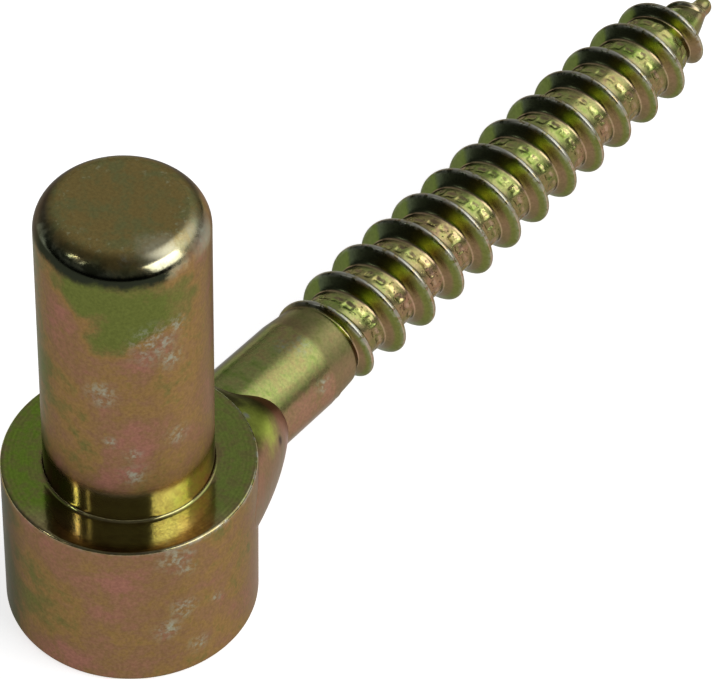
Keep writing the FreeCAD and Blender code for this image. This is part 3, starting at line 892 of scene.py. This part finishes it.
def screw_axis_gap(t, mm):
    """Distance from the screw's axis."""
    from_axis = t.vector("SUBTRACT", mm, (0, 0, -SCREW_DROP))
    return t.vector("LENGTH", t.vector("CROSS_PRODUCT", from_axis, (0, 1, 0)))


def flank_reflection(t, mm, turn):
    """Painted reflection on the ridge's near flank: dark on top, olive to the left, brown to the
    right.
    """
    span = FLANK_END - FLANK_START
    wave = t.times(t.wave(mm, 0.5, 3.0, 0.6), FLANK_WANDER)
    place = t.plus(turn, t.less(wave, math.radians(FLANK_START)))
    share = t.times(place, 1 / math.radians(span))
    stops = [((angle - FLANK_START) / span, hue) for angle, hue in FLANK_HUES]
    outer = t.times(t.spread(screw_axis_gap(t, mm), *FLANK_RIM_RADII),
                    t.spread(turn, *FLANK_RIM_TURN, 0.0, FLANK_RIM_STRENGTH))
    return t.mix(outer, t.ramp(share, stops), FLANK_RIM)


def screw_plate(t, mm, along, turn, land_edges):
    """Colour of the screw's plate: upper side and sides in lit and shaded hues as painted light,
    painted shade on the left, a painted highlight on the fillets and a painted reflection on the near
    flanks.
    """
    upper = t.ramp(drifting_hue(t, mm, UPPER_HUE, UPPER_HUE_DRIFT), UPPER_HUES)
    side_hue = t.spread(along, *THREAD_PLACES, SHANK_SIDE_HUE, THREAD_SIDE_HUE)
    side = t.ramp(drifting_hue(t, mm, side_hue, SIDE_HUE_DRIFT), SIDE_HUES)
    upper = t.mix(t.times(land_edges, LAND_EDGE_STRENGTH), upper, LAND_EDGE)
    # Painted light on the thread's upper side and inside the rolled marks.
    bright = t.spread(along, *LIGHT_PLACES, 1.0, THREAD_LIGHT)
    upper = scaled(t, upper, t.plus(bright, t.times(point_value(t, "mark"), MARK_LIGHT)))
    # Painted light: lit hues where the screw faces up, shaded ones on its sides.
    colour = t.mix(t.spread(facing(t, UP), *UPPER_FACING), side, upper)
    # Painted shade where the screw faces left.
    colour = t.mix(t.spread(facing(t, (-1, 0, 0)), *LEFT_FACING), colour, LEFT_SHADE_OLIVE)
    near = facing(t, (0, -1, 0))
    # Painted highlight along the fillet.
    fillet = t.times(t.spread(near, *FILLET_RISE), t.spread(near, *FILLET_FALL))
    colour = t.mix(t.times(fillet, FILLET_STRENGTH), colour, FILLET_HIGHLIGHT)
    # Painted reflection on the near flanks.
    return t.mix(t.spread(near, *NEAR_FACING), colour, flank_reflection(t, mm, turn))


def rolled_height(t, mm, along, land_edges):
    """Uneven rolled surface, with fine crumbs on the first lands."""
    crumbs = t.spread(t.noise(mm, 2.6, 2.0, 0.5), 0.6, 0.7)
    on_land = t.times(t.spread(land_edges, 0.5, 0.0), t.spread(along, *LAND_PLACES))
    on_land = t.times(on_land, t.spread(along, *CRUMB_PLACES, 1.0, LAST_CRUMBS))
    rolled = t.times(t.noise(mm, 2.0, 3.0, 0.6), ROLLED_BUMP_SHARE)
    return t.plus(rolled, t.times(crumbs, on_land))


def plated_screw():
    """Rolled surface, greener than the pin, with dark near flanks as a painted reflection and bright
    worn crests, their brightness on top partly a painted highlight.
    """
    t = new_material("plated_screw")
    mm = millimetres(t)
    parts = t.add("ShaderNodeSeparateXYZ", {0: mm}).outputs
    along = parts["Y"]
    turn = t.math("ARCTAN2", parts["X"], t.plus(parts["Z"], SCREW_DROP))
    land_edges = point_value(t, "land_edge")
    colour = screw_plate(t, mm, along, turn, land_edges)
    band = t.times(t.spread(along, *BAND_RISE), t.spread(along, *BAND_FALL))
    colour = t.mix(t.times(band, BAND_STRENGTH), colour, BAND_TAN)
    colour = with_grain(t, mm, colour, SCREW_GRAIN)
    scuff = scuffs(t, mm, uneven(t, mm), [(place[:3], place[3]) for place in SHANK_SCUFFS])
    colour = t.mix(t.times(scuff, SCUFF_STRENGTH), colour, FLECK)
    # Worn crests, partly real wear and partly a painted highlight kept to the top.
    lit_top = t.times(t.spread(turn, *CREST_LEFT_TURN, CREST_LEFT_WEAR, 1.0),
                     t.spread(turn, *CREST_RIGHT_TURN, 1.0, CREST_RIGHT_WEAR))
    worn = t.times(worn_edge(t, mm, 0.36, 0.56), lit_top)
    colour = t.mix(worn, colour, CREST_SILVER)
    base = t.spread(along, *THREAD_PLACES, SHANK_ROUGHNESS, THREAD_ROUGHNESS)
    roughness = t.plus(base, t.times(t.larger(worn, band), WORN_ROUGHNESS))
    height = rolled_height(t, mm, along, land_edges)
    return finish_shader(t, colour, roughness, height, SCREW_BUMP)


def plated_weld():
    """Smooth weld metal under the same plate, with painted shade in a brown crease along its toe and
    on its top, and a painted highlight.
    """
    t = new_material("plated_weld")
    mm = millimetres(t)
    wander = uneven(t, mm)
    colour = t.ramp(drifting_hue(t, mm, WELD_HUE), SIDE_HUES)
    # Painted shade where the bead faces up.
    colour = t.mix(t.spread(facing(t, UP), *BEAD_TOP), colour, BEAD_TOP_SHADE)
    # Painted highlight on the bead's upper side.
    colour = t.mix(stain(t, mm, wander, BEAD_HIGHLIGHT_PLACE, BEAD_HIGHLIGHT_REACH), colour, BEAD_HIGHLIGHT)
    # Painted shade in the toe's crease, pinker where it faces right.
    crease = t.mix(t.spread(facing(t, (1, 0, 0)), *CREASE_RIGHT), TOE_BROWN, TOE_PINK)
    colour = t.mix(t.spread(point_value(t, "toe"), *CREASE_START), colour, crease)
    colour = t.mix(stain(t, mm, wander, BEAD_SPOT, SPOT_REACH), colour, SPOT_BROWN)
    colour = t.mix(stain(t, mm, wander, BEAD_SCUFF, BEAD_SCUFF_REACH), colour, FLECK)
    colour = with_grain(t, mm, colour, WELD_GRAIN)
    return finish_shader(t, colour, WELD_ROUGHNESS, t.noise(mm, 0.8, 3.0, 0.6), WELD_BUMP)


def finish_piece(piece, node, material):
    """Dress a piece, set it on the body and let it stand for its solid."""
    piece.data.materials.append(material)
    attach(piece, BODY)
    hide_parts(node)


def floor_material():
    """A white floor: seen and mirrored as white, and still shaded by what stands on it."""
    t = new_material("pale_floor")
    rays = t.add("ShaderNodeLightPath").outputs
    seen = t.plus(rays["Is Camera Ray"], rays["Is Glossy Ray"])
    seen = t.plus(seen, rays["Is Transmission Ray"], True)
    paper = t.add("ShaderNodeBsdfDiffuse", {"Color": FLOOR_COLOUR})
    glow = t.add("ShaderNodeEmission", {"Color": WHITE, "Strength": t.times(seen, FLOOR_GLOW)})
    both = t.add("ShaderNodeAddShader", {0: paper.outputs[0], 1: glow.outputs[0]})
    t.add("ShaderNodeOutputMaterial", {0: both.outputs[0]})
    return t.owner


def make_floor():
    """The floor that the collar stands on."""
    level = -COLLAR_HEIGHT
    half = FLOOR_HALF
    corners = [(-half, -half, level), (half, -half, level), (half, half, level), (-half, half, level)]
    floor = new_piece("floor", corners, [(0, 1, 2, 3)])
    floor.data.materials.append(floor_material())


def camera_axes():
    """Right, up and forward of the camera."""
    yaw, pitch, roll = (math.radians(v) for v in (CAMERA_YAW, CAMERA_PITCH, CAMERA_ROLL))
    flat = math.cos(pitch)
    forward = Vector((math.sin(yaw) * flat, math.cos(yaw) * flat, -math.sin(pitch)))
    level = Vector((math.cos(yaw), -math.sin(yaw), 0))
    lift = level.cross(forward)
    right = level * math.cos(roll) + lift * math.sin(roll)
    up = lift * math.cos(roll) - level * math.sin(roll)
    return right, up, forward


def make_camera():
    """The photograph's camera."""
    data = bpy.data.cameras.new("camera")
    data.sensor_width = SENSOR_WIDTH
    data.lens = FOCAL_PIXELS * SENSOR_WIDTH / IMAGE_WIDTH
    data.clip_start = CLIP_START
    data.clip_end = CLIP_END
    camera = bpy.data.objects.new("camera", data)
    right, up, forward = camera_axes()
    turn = Matrix((right, up, -forward)).transposed().to_4x4()
    camera.matrix_world = Matrix.Translation(Vector(CAMERA_PLACE) * MM) @ turn
    bpy.context.scene.collection.objects.link(camera)
    bpy.context.scene.camera = camera


def add_softbox(name, azimuth, elevation, width, height, radiance):
    """A rectangular lamp that faces the object; its sizes are in metres."""
    data = bpy.data.lights.new(name, "AREA")
    data.shape = "RECTANGLE"
    data.size = width
    data.size_y = height
    data.energy = radiance * math.pi * width * height
    lamp = bpy.data.objects.new(name, data)
    away = towards(azimuth, elevation)
    turn = away.to_track_quat("Z", "Y").to_matrix().to_4x4()
    lamp.matrix_world = Matrix.Translation(away * LAMP_DISTANCE) @ turn
    bpy.context.scene.collection.objects.link(lamp)


def make_lights():
    """One large window-like softbox to the right, two narrow strips to the left."""
    for lamp in LAMPS:
        add_softbox(*lamp)


def make_world():
    """A plain studio room: dark low down and behind the camera, pale overhead and beyond."""
    t = NodeTree(bpy.data.worlds.new("studio"))
    way = t.add("ShaderNodeTexCoord").outputs["Generated"]
    parts = t.add("ShaderNodeSeparateXYZ", {0: way}).outputs
    low = t.spread(parts["Z"], *HORIZON, HORIZON_SHARE, 1.0)
    dark = t.vector("DOT_PRODUCT", way, tuple(towards(*DARK_WAY)))
    pale = t.vector("DOT_PRODUCT", way, tuple(towards(*PALE_WAY)))
    room = t.spread(dark, *DARK_REACH, *ROOM_LEVELS)
    glow = t.spread(pale, *PALE_REACH, 0.0, PALE_LEVEL)
    level = t.times(low, t.plus(room, glow))
    sky = t.add("ShaderNodeBackground", {"Color": WHITE, "Strength": level})
    t.add("ShaderNodeOutputWorld", {0: sky.outputs[0]})
    bpy.context.scene.world = t.owner


def main():
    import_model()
    bpy.context.scene.view_settings.view_transform = "Standard"
    finish_piece(make_pin_and_collar(), "pin_and_collar", plated_pin())
    finish_piece(make_wood_screw(), "wood_screw", plated_screw())
    finish_piece(make_weld_bead(), "weld_bead", plated_weld())
    make_floor()
    make_camera()
    make_lights()
    make_world()


main()
